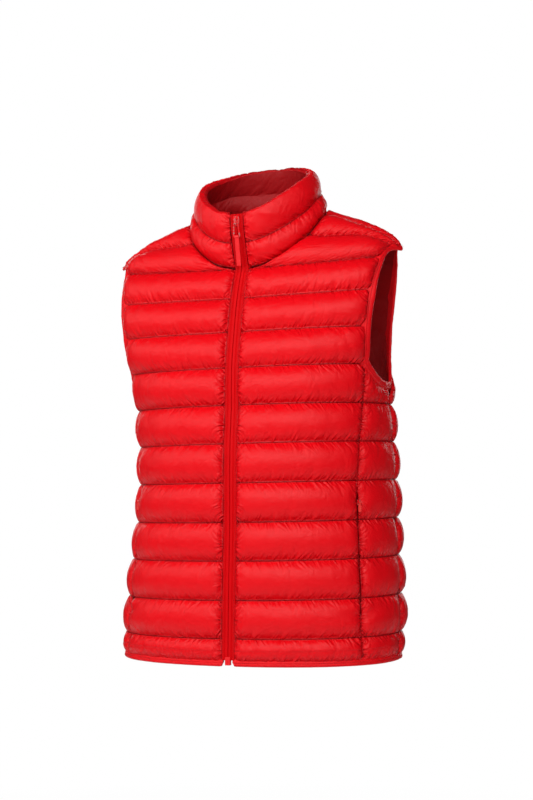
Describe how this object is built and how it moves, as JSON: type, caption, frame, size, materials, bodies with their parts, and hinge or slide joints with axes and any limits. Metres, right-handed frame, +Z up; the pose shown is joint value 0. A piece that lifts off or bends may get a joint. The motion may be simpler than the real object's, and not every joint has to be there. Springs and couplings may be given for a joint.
{
  "type": "puffer vest",
  "caption": "Quilted sleeveless puffer vest with a stand-up collar, full front zip and two seam pocket zips, hollow as when worn",
  "frame": {"origin": "where the wearer's shoulders carry it: midway between the shoulder seams, at the level where they meet the neck", "axes": "+Z up, -Y out of the front, +X to the wearer's left"},
  "size_m": [0.4215, 0.2689, 0.6937],
  "materials": {
    "shell": "satin red nylon, downproof weave",
    "lining": "plain dark red lining",
    "binding": "red folded nylon binding",
    "zip_tape": "dark red woven zip tape",
    "zip_coil": "dark red nylon coil",
    "zip_plastic": "bright red moulded end box",
    "zip_metal": "red painted die-cast metal with bare worn edges",
    "pull_tab": "red moulded rubber pull"
  },
  "bodies": {
    "vest": {"front_panel_left": "shell", "front_panel_right": "shell", "side_panel_left": "shell", "side_panel_right": "shell", "back_panel": "shell", "collar": "shell", "collar_lining": "lining", "armhole_binding_left": "binding", "armhole_binding_right": "binding", "hem_binding": "binding", "zip_tape_left": "zip_tape", "zip_tape_right": "zip_tape", "zip_coil": "zip_coil", "zip_box": "zip_plastic", "zip_slider": "zip_metal", "pocket_zip_left": "zip_tape", "pocket_zip_right": "zip_tape", "pocket_slider_left": "zip_metal", "pocket_slider_right": "zip_metal"},
    "pull_link": {"zip_pull_link": "zip_metal"},
    "pull_tab": {"zip_pull_tab": "pull_tab"},
    "pocket_pull_left": {"pocket_pull_left": "pull_tab"},
    "pocket_pull_right": {"pocket_pull_right": "pull_tab"}
  },
  "joints": [
    {"name": "pull_link_swing", "type": "hinge", "parent": "vest", "child": "pull_link", "pos_m": [-0.0008, -0.10575, -0.01656], "axis": [-0.9995, 0.0068, -0.0314], "range_deg": [0, 170]},
    {"name": "pull_tab_swing", "type": "hinge", "parent": "pull_link", "child": "pull_tab", "pos_m": [-0.00016, -0.10274, -0.03622], "axis": [-0.9995, 0.0068, -0.0314], "range_deg": [0, 90]},
    {"name": "pocket_pull_left_swing", "type": "hinge", "parent": "vest", "child": "pocket_pull_left", "pos_m": [0.1623, -0.07231, -0.39287], "axis": [-0.5881, -0.8088, 0.003], "range_deg": [0, 120]},
    {"name": "pocket_pull_right_swing", "type": "hinge", "parent": "vest", "child": "pocket_pull_right", "pos_m": [-0.15708, -0.07464, -0.39282], "axis": [-0.5952, 0.8033, 0.0215], "range_deg": [0, 120]}
  ]
}
